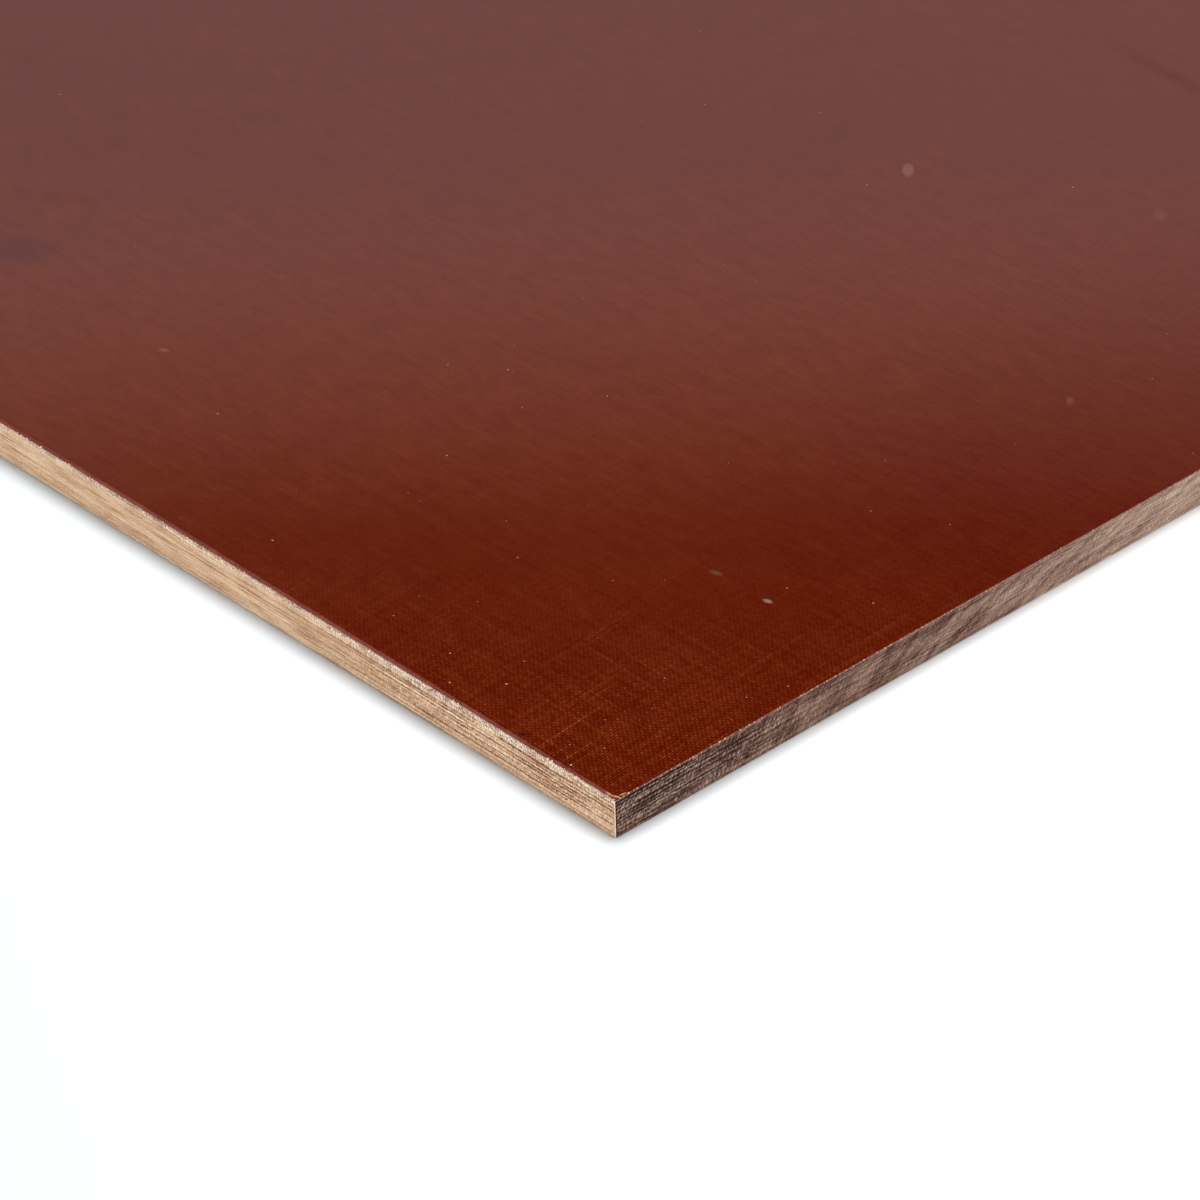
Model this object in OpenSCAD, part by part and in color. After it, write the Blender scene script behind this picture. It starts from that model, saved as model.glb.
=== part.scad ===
// Phenolic laminate sheet: plies of fine cotton cloth in phenolic resin, pressed flat and sawn to size.
// It is one solid. Length runs along X, width along Y and thickness up Z.
// The origin is at the middle of the underside, so the sheet lies on the plane Z = 0.

/* [Sheet] */
// Length along X, a cut size that the sheet is sold in
sheet_length = 300; // [60:5:1200]
// Width along Y
sheet_width = 300; // [60:5:1200]
// Thickness as pressed
sheet_thickness = 6; // [2:0.5:50]

/* [Sawn edges] */
// Radius of the eased arrises that run along the length, from the face into the front and back edges
long_arris = 0.5; // [0.05:0.05:0.9]
// Radius of the arrises that run along the width, which the saw leaves almost sharp
cross_arris = 0.2; // [0.05:0.05:0.9]
// Radius that handling has worn onto the four upright corners, which are still almost sharp
corner_radius = 0.1; // [0.05:0.05:5]

/* [Finish] */
// Colour of the pressed faces
face_colour = "#5f2016";

/* [Hidden] */
// Fragments of a full turn on each rounding
arc_steps = 48;
// Overshoot of each extruded section past the others that it is intersected with
overshoot = 1;

// A rectangle standing on the X axis, span wide and rise high, with all four corners rounded
module rounded_section(span, rise, radius) {
    translate([-span / 2 + radius, 0]) square([span - 2 * radius, rise]);
    translate([-span / 2, radius]) square([span, rise - 2 * radius]);
    for (side = [-1, 1], level = [radius, rise - radius])
        translate([side * (span / 2 - radius), level]) circle(r = radius, $fn = arc_steps);
}

// The outline seen from above, with worn corners
module plan() {
    linear_extrude(sheet_thickness)
        translate([0, -sheet_width / 2])
            rounded_section(sheet_length, sheet_width, corner_radius);
}

// The section across the width, drawn out along X: it eases the front and back arrises
module section_along_length() {
    rotate([90, 0, 90])
        translate([0, 0, -sheet_length / 2 - overshoot])
            linear_extrude(sheet_length + 2 * overshoot)
                rounded_section(sheet_width, sheet_thickness, long_arris);
}

// The section across the length, drawn out along Y: it takes the sharpness off the end arrises
module section_along_width() {
    rotate([90, 0, 0])
        translate([0, 0, -sheet_width / 2 - overshoot])
            linear_extrude(sheet_width + 2 * overshoot)
                rounded_section(sheet_length, sheet_thickness, cross_arris);
}

module laminate_sheet() {
    color(face_colour)
        intersection() {
            plan();
            section_along_length();
            section_along_width();
        }
}

laminate_sheet();
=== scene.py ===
import math

import bmesh
import bpy
from mathutils import Euler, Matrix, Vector


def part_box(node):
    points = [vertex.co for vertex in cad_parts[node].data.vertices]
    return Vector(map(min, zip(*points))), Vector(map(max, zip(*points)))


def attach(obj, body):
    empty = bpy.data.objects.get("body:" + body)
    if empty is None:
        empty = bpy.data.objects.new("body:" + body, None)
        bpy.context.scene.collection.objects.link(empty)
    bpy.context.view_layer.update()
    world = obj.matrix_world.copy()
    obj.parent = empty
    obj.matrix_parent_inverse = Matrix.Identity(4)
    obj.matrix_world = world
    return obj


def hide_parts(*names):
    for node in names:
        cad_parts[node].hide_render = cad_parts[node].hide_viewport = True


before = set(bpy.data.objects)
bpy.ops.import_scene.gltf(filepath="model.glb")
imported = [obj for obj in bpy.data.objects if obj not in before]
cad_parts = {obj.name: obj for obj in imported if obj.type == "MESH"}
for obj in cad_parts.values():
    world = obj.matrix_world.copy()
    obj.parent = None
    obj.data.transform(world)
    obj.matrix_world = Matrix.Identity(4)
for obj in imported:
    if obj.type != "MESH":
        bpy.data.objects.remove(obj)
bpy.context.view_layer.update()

# ---- Sizes, in metres --------------------------------------------------------
# The sheet's own box comes from the frame.
MM = 0.001
NODE = "laminate_sheet"
LOW, HIGH = (Vector(corner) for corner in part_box(NODE))
MIDDLE = (LOW + HIGH) / 2
LENGTH = HIGH.x - LOW.x
WIDTH = HIGH.y - LOW.y
THICKNESS = HIGH.z - LOW.z

# Cloth: threads along the length, threads that cross them a few degrees off square, and how far
# both wander, in threads
LONG_THREAD_PITCH = 0.383 * MM
CROSS_THREAD_PITCH = 0.4505 * MM
CROSS_THREAD_LEAN = 0.0572
LONG_WANDER = 3.0
CROSS_WANDER = 4.0
PLIES = 11

# Pressed sheet: the section of the rolled arris in mm (drop below the face, inset from the front
# and back edges, inset from the ends), the lip under it, and the core behind the sawn edges
ARRIS_ROLL = (
    (0.0, 1.0, 0.06),
    (0.008, 0.8, 0.05),
    (0.03, 0.6, 0.042),
    (0.065, 0.4, 0.036),
    (0.11, 0.26, 0.032),
    (0.22, 0.19, 0.03),
)
LIP_DEPTH = 0.40 * MM
CORE_INSET = 0.5 * MM
UNDER_SET_BACK = 0.25 * MM
CORNER_RADIUS = 0.12 * MM
CORNER_INSET = 0.06 * MM
CORNER_STEPS = 6

# Sawn edges: the grid of each bar, the gaps it keeps to the two faces, and the depth of its relief
EDGE_GRID = {"Stations": 1850, "Rows": 34, "Core depth": 1.2 * MM}
MERGE_DISTANCE = 0.0005 * MM
TOP_GAP = 0.06 * MM
FOOT_GAP = 0.01 * MM
FOOT_RAGGED = 0.15
TOOTH_DEPTH = 0.04 * MM
PULLED_DEPTH = 0.42 * MM
PULLED_STEP = 3.7
PULLED_BETWEEN = 0.7
WANDER_DEPTH = 0.10 * MM
EDGE_WANDER_RATE = 70.0
SEAM_DEPTH = 0.05 * MM
SEAM_SWAY = 1.2
SEAM_SWAY_RATE = 45.0
GROOVE_DEPTH = 0.25 * MM
GROOVE_LEAN = 1.1
GROOVE_RATES = (620.0, 120.0, 40.0)
FIBRE_DEPTH = 0.12 * MM
FRAYED_FIBRE_DEPTH = 0.2 * MM
EDGE_FIBRE_RATE = 1500.0
FRAYED_BAND = (0.80, 1.0)
FOOT_INSET = 0.06
FOOT_BAND = (0.0, 0.25)
RELIEF_LIMITS = (0.012 * MM, 0.45 * MM)
RELIEF_FADE = 0.6 * MM

# Cotton: the bundles' spacing in thread pitches, and the smallest and largest of what varies
BUNDLE_SPACING = 0.75
BUNDLE_SIZES = (0.35, 1.0)
BUNDLE_WIDTHS = (0.55, 1.15)
BUNDLE_SHIFTS = (-0.25, 0.25)
BUNDLE_TILTS = (-0.2, 0.9)
TILT_ALLOWANCE = 0.3
LOW_BY_CHANCE = 0.5
LOW_IN_CLUMPS = 0.6
CLUMP_RATE = 650.0
CLUMP_BAND = (0.36, 0.62)
HAIR_INSETS = (0.05 * MM, 0.16 * MM)
HAIR_THICKNESSES = (0.04 * MM, 0.09 * MM)
HAIR_FLATNESS = 0.7
HAIR_DROP = 0.6
HAIR_LENGTHS = (0.4, 1.0)
HAIR_LEANS = (-0.15, 0.15)
HAIR_TILTS = (-1.1, 1.1)


def split(pairs):
    """Two tables from one of pairs: the front and back are cut along the length, the ends across."""
    return [{name: pair[kind] for name, pair in pairs.items()} for kind in range(2)]


LONG_EDGE, CROSS_EDGE = split({
    "Thread pitch": (CROSS_THREAD_PITCH, LONG_THREAD_PITCH),
    "Inset": (0.20 * MM, 0.07 * MM),
    "Saw marks": (0.35, 0.8),
    "Fray": (1.0, 0.3),
})
LONG_FRAY, CROSS_FRAY = split({
    "Thread pitch": (CROSS_THREAD_PITCH, LONG_THREAD_PITCH),
    "Bundle width": (0.27 * MM, 0.20 * MM),
    "Bundle length": (0.44 * MM, 0.16 * MM),
    "Bundle depth": (0.13 * MM, 0.08 * MM),
    "Lean back": (0.35, 0.1),
    "Set in": (0.05 * MM, 0.02 * MM),
    "Uneven": (0.58 * MM, 0.16 * MM),
    "Hairs": (1500, 700),
    "Hair length": (0.35 * MM, 0.2 * MM),
})
EDGE_SEED = 4.0
FRAY_SEED = 20


def colour(red, green, blue):
    """A linear colour from the 0 to 255 numbers of a screen colour."""
    def linear(value):
        value = value / 255.0
        return value / 12.92 if value <= 0.04045 else ((value + 0.055) / 1.055) ** 2.4

    return (linear(red), linear(green), linear(blue), 1.0)


# ---- Stage -------------------------------------------------------------------
# Angles are in degrees: azimuth 0 is in front, at -Y, and 90 at the right end.
FLOOR_REACH = 6.0
# Where the floor passes from its first tone to its second, to the right of the near corner
FLOOR_SPAN = (-0.085, 0.055)
# The first tone is painted shade, darker and bluer
FLOOR_TONES = ((0.66, 0.705, 0.735, 1.0), (0.84, 0.86, 0.87, 1.0))
WALL_TOP = 31.9
WALL_SOFTNESS = 2.0
WALL_RADIANCE = (0.54, 0.54, 0.555, 1.0)
WALL_EDGE_RADIANCE = (0.55, 0.52, 0.37, 1.0)
CEILING_RADIANCE = (0.006, 0.006, 0.006, 1.0)
# Each light: its (azimuth, elevation, distance), its (width, height), power, tint, and whether
# polished faces mirror it
STUDIO_LIGHTS = {
    "key light": ((200.0, 79.0, 1.32), (0.8, 0.8), 26.0, (1.0, 1.0, 1.0), False),
    "left fill": ((-27.0, 10.0, 1.6), (1.0, 0.45), 13.8, (0.77, 0.88, 1.0), True),
    "back panel": ((254.0, 47.0, 2.2), (0.8, 0.7), 0.8, (1.0, 1.0, 1.0), True),
    "right kicker": ((114.0, 22.0, 0.65), (0.3, 0.3), 1.2, (1.0, 0.97, 0.94), True),
}
# The camera looks at a point this far in from the right end and from the front edge
AIM_FROM_CORNER = (34.967 * MM, 29.731 * MM)
VIEW_AZIMUTH = 48.21
VIEW_ELEVATION = 33.98
VIEW_ROLL = -1.74
VIEW_DISTANCE = 0.7568
LENS = 169.04
SENSOR = 36.0
CLIP = (0.05, 50.0)

# ---- Pressed face ------------------------------------------------------------
# Here and below a rate says how often a pattern changes in a metre, a band where it sets in and
# is full, and a step how far apart its neighbours are picked from the noise.
WANDER_RATE = 28.0
WEAVE_CROSSING = 0.12
CROSSING_SHARES = (0.33, 0.515)
CROSS_ROWS = 0.285
LONG_ROWS = 0.15
MEAN_ROW = 0.64
YARN_CONTRAST = 0.36
YARN_RATE = 55.0
YARN_STEP = 7.31
SLUB_CONTRAST = 0.15
SLUB_RATE = 50.0
SLUB_STEP = 3.17
SLUB_BAND = (0.66, 0.80)
GRAIN_CONTRAST = 0.60
GRAIN_RATE = 1500.0
SHINE_THROUGH = 0.12

# Resin: how much of the cloth shows through it in the middle, and where it is light or dark
DEEP_SHOW = 0.18
THIN_RESIN_REACH = (0.50 * LENGTH, 0.685 * LENGTH)
FACE_LIGHT = 0.40
CLOUD_CONTRAST = 0.16
CLOUD_RATE = 55.0
DEEP_CLOUD = 0.3
MOTTLE_CONTRAST = 0.27
STREAK_RATES = (185.0, 450.0)
LIGHTER_REACH = (50.0 * MM, 95.0 * MM)
LIGHTER_RESIN = 0.08
# Painted shade: the face is darkened far from the near corner
DARKER_REACH = (110.0 * MM, 190.0 * MM)
FAR_PAINTED_SHADE = 0.13
# Painted shade: the face is darkened by the right end, away from the front
END_REACH = (10.0 * MM, 70.0 * MM)
END_START = (30.0 * MM, 90.0 * MM)
END_PAINTED_SHADE = 0.10
FACE_TONES = (
    (0.0, colour(67, 6, 0)),
    (0.14, colour(69, 8, 0)),
    (0.28, colour(74, 12, 0)),
    (0.42, colour(82, 22, 3)),
    (0.56, colour(93, 32, 11)),
    (0.70, colour(108, 42, 15)),
    (1.0, colour(154, 80, 38)),
)

# Specks: their sizes are shares of the cells that they lie in
SPECK_RATE = 190.0
SPECK_SIZE = 0.009
SPECK_GROWTH = 0.020
SPECK_BORDER = (-0.006, 0.004)
SPECK_BAND = (0.985, 0.995)
SPECKS_IN_THIN = 0.14
SPECKS_BY_FRONT = 0.09
SPECKLED_FROM_FRONT = (30.0 * MM, 75.0 * MM)
SPECKLED_FROM_END = (75.0 * MM, 130.0 * MM)
SPECK_SHARE = 0.2
SPECK_SHARE_SPREAD = 0.5
SPECKS_LOST_IN_DARK = 0.6
SPECK_COLOUR = colour(205, 165, 145)
# Spots and streaks: place in mm from the right end and from the front, half length and half width
# in mm, turn in degrees, softness, share and colour
FACE_MARKS = (
    ((87.4, 141.6), (1.9, 0.85), 135.0, 0.30, 0.10, colour(190, 150, 135)),
    ((51.3, 158.3), (1.8, 0.85), 135.0, 0.50, 0.03, colour(190, 150, 140)),
    # The next two grey marks are painted glints
    ((28.7, 45.3), (0.80, 0.42), 15.0, 0.8, 0.20, colour(118, 110, 88)),
    ((18.9, 45.5), (0.60, 0.34), 10.0, 0.7, 0.32, colour(180, 166, 146)),
    ((25.0, 110.9), (1.1, 0.5), 135.0, 0.5, 0.07, colour(180, 140, 120)),
    ((19.2, 1.4), (0.42, 0.32), 30.0, 0.7, 0.85, colour(20, 10, 6)),
    ((9.7, 1.3), (0.09, 0.14), 0.0, 0.5, 0.80, colour(236, 214, 200)),
    ((13.1, 4.2), (0.10, 0.10), 0.0, 0.6, 0.50, colour(206, 140, 120)),
    ((14.0, 11.3), (0.11, 0.11), 0.0, 0.6, 0.30, colour(206, 150, 130)),
    ((0.55, 0.75), (0.50, 0.13), 20.0, 0.5, 0.60, colour(225, 184, 154)),
    ((0.35, 1.7), (0.5, 0.14), 80.0, 0.5, 0.70, colour(206, 140, 104)),
    ((1.6, 0.5), (0.7, 0.16), 0.0, 0.5, 0.70, colour(206, 150, 116)),
    ((165.0, 31.0), (5.6, 3.4), 40.0, 0.9, 0.40, colour(40, 10, 22)),
    ((101.9, 141.1), (3.0, 1.6), 135.0, 0.9, 0.12, colour(46, 14, 6)),
    ((126.8, 28.9), (0.7, 0.4), 20.0, 0.9, 0.08, colour(200, 160, 130)),
)
# Scuffs where the resin has lost some gloss: place, half sizes and turn as above, softness, added
# roughness
DULL_STREAKS = (
    ((82.0, 191.5), (13.0, 1.5), -7.0, 0.9, 0.10),
    ((108.0, 197.0), (9.0, 1.8), -7.0, 0.9, 0.05),
    ((211.0, 68.8), (6.0, 1.5), 0.0, 0.9, 0.05),
    ((174.0, 45.0), (7.0, 1.5), 30.0, 0.9, 0.05),
)

# Borders of the face: thin resin and bare cotton along the front and back, wear along the ends.
# These rates say how often a pattern changes in a thread.
TEETH_RATE = 1.1
LUMPS_RATE = 0.22
FADES_RATE = 0.12
PATCHES_RATE = 0.22
NICKS_RATE = 0.8
THIN_BAND = (0.15 * MM, 0.95 * MM)
THIN_RAGGED = 0.8 * MM
THIN_NARROWING = 0.3
THIN_FADES = (0.36, 0.58)
THIN_SHARE = 0.55
THIN_SHARE_SPREAD = 0.5
THIN_TONE = colour(120, 56, 40)
WORN_BAND = (-0.02 * MM, 0.08 * MM)
WORN_REACH = (20.0 * MM, 60.0 * MM)
WORN_PATCHES = (0.30, 0.62)
WORN_SHARE = 0.75
WORN_TONE = colour(138, 84, 68)
BARE_BORDER = (-0.03 * MM, 0.03 * MM)
BARE_REACH = 0.02 * MM
BARE_RAGGED = 1.0 * MM
BARE_COTTON = colour(240, 204, 176)
BARE_END_RAGGED = 0.75 * MM
BARE_END_REACH = (25.0 * MM, 75.0 * MM)
BARE_END_LOSS = 0.7
BARE_END_COTTON = colour(218, 166, 134)

# Gloss and relief of the face: roughness of clear resin, and what each flaw adds to it
FACE_ROUGHNESS = 0.08
UNEVEN_ROUGHNESS = 0.04
SPECK_ROUGHNESS = 0.3
WORN_ROUGHNESS = 0.10
BARE_ROUGHNESS = 0.7
WAVINESS = 3.0
YARN_RELIEF = 0.3
FACE_BUMP = {"Strength": 0.10, "Distance": 0.02 * MM}
RESIN_IOR = 1.5

# ---- Raw cotton along the arrises --------------------------------------------
# Each kind's pale and shaded colour, and the resin dust and stain on it
LONG_COTTON = (colour(255, 244, 220), colour(160, 112, 80))
CROSS_COTTON = (colour(240, 200, 164), colour(112, 64, 46))
STRAND_RATE = 2600.0
TUFT_RATE = 420.0
COTTON_BY_STRAND = 0.4
COTTON_BY_TUFT = 0.6
COTTON_BAND = (0.38, 0.56)
DUSTY_REACH = (60.0 * MM, 150.0 * MM)
DUSTY_SHARE = 0.60
DUSTY_TONE = colour(206, 170, 142)
STAIN_DEPTH = 0.30 * MM
STAIN_SHARE = 0.75
STAIN_TONE = colour(150, 84, 58)
COTTON_BUMP = {"Strength": 0.4, "Distance": 0.03 * MM}
DRY_COTTON = {"Roughness": 0.9, "Specular IOR Level": 0.15}

# ---- Sawn cuts ---------------------------------------------------------------
# What both have in common, then each one's own look: along the length, and across it
SWAY_RATE = 60.0
SWAY_PLIES = 0.7
RIPPLE_RATE = 800.0
UNEVEN_PLIES = 1.8
UNEVEN_RATES = (6.0, 9.0)
THREAD_SHIFT = 0.8
THREAD_JITTER = 2.4
JITTER_RATE = 600.0
MEAN_YARN = 0.2
CLEAR_RATE = 160.0
CLEAR_BAND = (0.34, 0.62)
FIBRE_RATE = 3600.0
PLY_TONE_RATE = 70.0
LINE_RATE = 60.0
LINE_WAVE = 1.2
BAND_RATE = 14.0
STRAND_TONE_RATE = 4200.0
# How far a pattern moves on from one ply to the next
JITTER_STEP = 0.31
CLEAR_STEP = 0.65
JOINT_STEP = 5.17
DASH_STEP = 1.9
PLY_TONE_STEP = 3.71
BAND_STEP = 0.5
BLOTCH_STEP = 0.42
# Joints, saw strokes and borders, and each pattern's share in a tone or in the relief
JOINT_WIDTHS = (0.08, 0.40)
JOINT_SOFTNESS = 0.22
STROKES_RATES = (560.0, 220.0, 60.0)
STROKES_AHEAD = 24.0 * MM
STROKES_LEAN = 0.8
STROKES_LEAN_GAIN = 1.7
STROKES_LEAN_REACH = (20.0 * MM, 110.0 * MM)
STROKES_LOST_FAR = 0.3
FAR_RATIO = 2.4
TOP_DARK_BAND = (0.86, 0.92)
TOP_DARK_RIPPLE = 0.06
FOOT_TONE_SWAY = 0.15
FOOT_TONE_FULL = 0.6
RIM_BY_THREAD = 0.10
RIM_BY_RIPPLE = 0.26
RIM_BY_SWAY = 0.14
RIM_BY_BLOTCH = 0.16
RIM_TONE_BY_STRAND = 0.7
RIM_TONE_BY_THREAD = 0.35
RIM_TONE_BY_FIBRE = 0.5
CUT_RELIEF_YARN = 0.6
CUT_RELIEF_DASH = 0.8
CUT_RELIEF_SAW = 2.0
RIM_FLARE_REACH = (3.0 * MM, 22.0 * MM)
RIM_BORDER = (1.25, 0.35)
RIM_TONE_BAND = (0.34, 0.74)
RIM_LOST_WHERE_SAWN = 0.45
CORNER_RAGGED = 0.35 * MM
CUT_BUMP = {"Strength": 0.6, "Distance": 0.08 * MM}
DRY_CUT = {"Roughness": 0.8, "Specular IOR Level": 0.15}
# The cross cut's tones sit darker than the long cut's, partly its own colour and partly painted shade
# of the right end, which faces away from the fill light
LONG_TONES = (
    (0.0, colour(92, 52, 40)),
    (0.30, colour(152, 105, 79)),
    (0.52, colour(196, 151, 114)),
    (0.75, colour(222, 183, 145)),
    (1.0, colour(242, 216, 186)),
)
CROSS_TONES = (
    (0.0, colour(38, 16, 12)),
    (0.30, colour(84, 54, 44)),
    (0.55, colour(132, 102, 88)),
    (0.80, colour(168, 141, 124)),
    (1.0, colour(202, 180, 160)),
)
LONG_CUT, CROSS_CUT = split({
    "run_axis": (0, 1),
    "start": (LOW.x, LOW.y),
    "length": (LENGTH, WIDTH),
    "thread_pitch": (CROSS_THREAD_PITCH, LONG_THREAD_PITCH),
    "crisp_end": ("far", "near"),
    "stops": (LONG_TONES, CROSS_TONES),
    # The cross cut's lower base light is partly painted shade
    "light": (0.645, 0.455),
    "painted_light_tilt": (0.07, 0.12),
    "ripple": (0.5, 0.55),
    "yarn": (0.35, 0.44),
    "turns": (0.05, 0.20),
    "slant": (0.0, 0.9),
    "ply": (0.18, 0.50),
    "line": (0.95, 0.90),
    "line_rate": (21.0, 15.0),
    "dash": (0.52, 1.0),
    "dash_rate": (1100.0, 850.0),
    "joint": (0.50, 0.62),
    "joint_rate": (75.0, 70.0),
    "joint_from": (0.36, 0.42),
    "dotted": (0.2, 0.4),
    "band": (0.18, 0.32),
    "blotch": (0.24, 0.75),
    "far_blotch": (0.50, 0.0),
    "blotch_rate": (170.0, 110.0),
    "fibre": (1.5, 1.3),
    "saw": (0.0, 1.15),
    "saw_from": (25.0 * MM, 8.0 * MM),
    "saw_full": (70.0 * MM, 45.0 * MM),
    "calm": (0.74, 0.66),
    "calm_wide": (0.15, 0.55),
    "far_painted_light": (0.02, 0.33),
    "top_dark": (0.0, 0.22),
    # The long cut's pale foot colour is painted light next to the floor
    "foot": (0.22, 0.10),
    "foot_share": (0.34, 0.15),
    "foot_colour": (colour(240, 196, 150), colour(96, 58, 50)),
    "rim": (0.25, 0.02),
    "rim_flare": (-0.06, 0.0),
    "rim_share": (0.64, 0.5),
    "rim_shade": (colour(180, 142, 114), colour(120, 80, 66)),
    "rim_light": (colour(250, 232, 206), colour(210, 170, 140)),
    "corner": (0.30 * MM, 0.42 * MM),
    "corner_share": (1.0, 0.75),
    "corner_colour": (colour(252, 226, 190), colour(34, 16, 12)),
})


# ---- Node trees written as expressions, materials and objects ----------------
class Socket:
    """An output socket. Arithmetic on it adds Math nodes to its tree."""

    def __init__(self, tree, output):
        self.tree = tree
        self.output = output

    def math(self, operation, *others):
        return self.tree.node("ShaderNodeMath", {"operation": operation}, [self, *others])

    def __add__(self, other):
        return self.math("ADD", other)

    def __sub__(self, other):
        return self.math("SUBTRACT", other)

    def __rsub__(self, other):
        return self.tree.node("ShaderNodeMath", {"operation": "SUBTRACT"}, [other, self])

    def __mul__(self, other):
        return self.math("MULTIPLY", other)

    def __truediv__(self, other):
        return self.math("DIVIDE", other)

    def __pow__(self, other):
        return self.math("POWER", other)

    def __lt__(self, other):
        return self.math("LESS_THAN", other)

    def __gt__(self, other):
        return self.math("GREATER_THAN", other)

    def __neg__(self):
        return self.math("MULTIPLY", -1.0)

    __radd__ = __add__
    __rmul__ = __mul__


class Tree:
    """A node tree, for a material, a world or geometry."""

    def __init__(self, node_tree):
        self.nodes = node_tree.nodes
        self.links = node_tree.links

    def node(self, kind, settings=None, values=(), output=0):
        """Adds a node: its settings first, then the values or links of its sockets."""
        made = self.nodes.new(kind)
        for name, value in (settings or {}).items():
            if name == "stops":
                self.set_stops(made.color_ramp.elements, value)
            else:
                setattr(made, name, value)
        pairs = values.items() if isinstance(values, dict) else enumerate(values)
        for key, value in pairs:
            self.feed(made.inputs[key], value)
        return Socket(self, made.outputs[output]) if len(made.outputs) else made

    def other(self, socket, output):
        """Another output of the same node."""
        return Socket(self, socket.output.node.outputs[output])

    def feed(self, target, value):
        if isinstance(value, Socket):
            self.links.new(value.output, target)
        else:
            target.default_value = value

    @staticmethod
    def set_stops(elements, stops):
        while len(elements) < len(stops):
            elements.new(1.0)
        for element, (position, tone) in zip(elements, stops):
            element.position = position
            element.color = tone

    # Shorthand for nodes that are used over and over
    def axes(self, vector):
        x = self.node("ShaderNodeSeparateXYZ", values=[vector])
        return x, self.other(x, "Y"), self.other(x, "Z")

    def vector(self, x, y, z):
        return self.node("ShaderNodeCombineXYZ", values=[x, y, z])

    def noise(self, vector, scale=1.0, detail=2.0, roughness=0.5):
        """Noise about 0.5. A bare number as the third coordinate only picks a slice."""
        values = {"Vector": vector, "Scale": scale, "Detail": detail, "Roughness": roughness}
        return self.node("ShaderNodeTexNoise", None, values)

    def ramp(self, value, low, high, smooth=True):
        """0 below low, 1 above high."""
        kind = "SMOOTHSTEP" if smooth else "LINEAR"
        values = {0: value, 1: low, 2: high, 3: 0.0, 4: 1.0}
        return self.node("ShaderNodeMapRange", {"interpolation_type": kind}, values)

    def between(self, value, low, high):
        return self.node("ShaderNodeClamp", None, {"Value": value, "Min": low, "Max": high})

    def mix(self, factor, first, second):
        """Mixes two colours."""
        settings = {"data_type": "RGBA", "clamp_factor": True}
        return self.node("ShaderNodeMix", settings, {0: factor, 6: first, 7: second}, output=2)


def new_material(name):
    material = bpy.data.materials.new(name)
    material.use_nodes = True
    material.node_tree.nodes.clear()
    return material, Tree(material.node_tree)


def bump(tree, settings, relief):
    """Fine relief, for a shader's Normal."""
    return tree.node("ShaderNodeBump", None, {**settings, "Height": relief})


def finish_material(tree, values):
    """Ends a material in one Principled shader."""
    shader = tree.node("ShaderNodeBsdfPrincipled", None, values)
    tree.node("ShaderNodeOutputMaterial", None, {"Surface": shader})


def new_object(name, data):
    """Adds an object with this data to the scene."""
    made = bpy.data.objects.new(name, data)
    bpy.context.scene.collection.objects.link(made)
    return made


def new_piece(name, mesh, material):
    data = bpy.data.meshes.new(name)
    mesh.to_mesh(data)
    mesh.free()
    data.materials.append(material)
    return new_object(name, data)


# ---- Finish of the pressed face ----------------------------------------------
def thread_values(tree, x, y):
    """The two thread sets at a point: position counted in threads, with the cloth's slight wander."""
    wander = tree.noise(tree.vector(x, y, 0.0), scale=WANDER_RATE, detail=1.0) - 0.5
    long_count = y / LONG_THREAD_PITCH + wander * LONG_WANDER
    cross_count = (x + y * CROSS_THREAD_LEAN) / CROSS_THREAD_PITCH + wander * CROSS_WANDER
    return long_count, cross_count


def yarn_tone(tree, count, along, seed):
    """Each thread's own lightness, which drifts along it where the yarn is thick or thin."""
    place = tree.vector(count.math("FLOOR") * YARN_STEP + seed, along * YARN_RATE, seed)
    return tree.noise(place, detail=1.0) - 0.5


def slubs(tree, count, along, seed):
    """The few threads that are thick over a length and show as fine bright lines."""
    place = tree.vector(count.math("FLOOR") * SLUB_STEP + seed, along * SLUB_RATE, seed)
    return tree.ramp(tree.noise(place, detail=0.0), *SLUB_BAND)


def cloth_under_resin(tree, x, y, counts, shown):
    """The cloth's weave, its yarns' own tones and its slubs."""
    long_count, cross_count = counts
    long_row = (long_count * math.pi).math("SINE").math("ABSOLUTE")
    cross_row = (cross_count * math.pi).math("SINE").math("ABSOLUTE")
    # Every other crossing is light, and those in line on one diagonal run into each other
    crossing = ((long_count - cross_count) * math.pi).math("COSINE") * CROSSING_SHARES[0]
    crossing = crossing - ((long_count + cross_count) * math.pi).math("COSINE") * CROSSING_SHARES[1]
    rows = (cross_row - MEAN_ROW) * CROSS_ROWS + (long_row - MEAN_ROW) * LONG_ROWS
    weave = crossing * WEAVE_CROSSING + rows * shown

    tones = yarn_tone(tree, long_count, x, seed=3.7) + yarn_tone(tree, cross_count, y, seed=11.9)
    thick = slubs(tree, long_count, x, seed=5.1) * long_row
    thick = thick + slubs(tree, cross_count, y, seed=17.3) * cross_row
    return weave, tones, thick


def cloth_shown(tree, x, y):
    """How much of the cloth shows: the resin lies thinnest towards the corners."""
    off_x, off_y = x - MIDDLE.x, y - MIDDLE.y
    from_middle = (off_x * off_x + off_y * off_y).math("SQRT")
    return tree.ramp(from_middle, *THIN_RESIN_REACH) * (1.0 - DEEP_SHOW) + DEEP_SHOW


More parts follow.
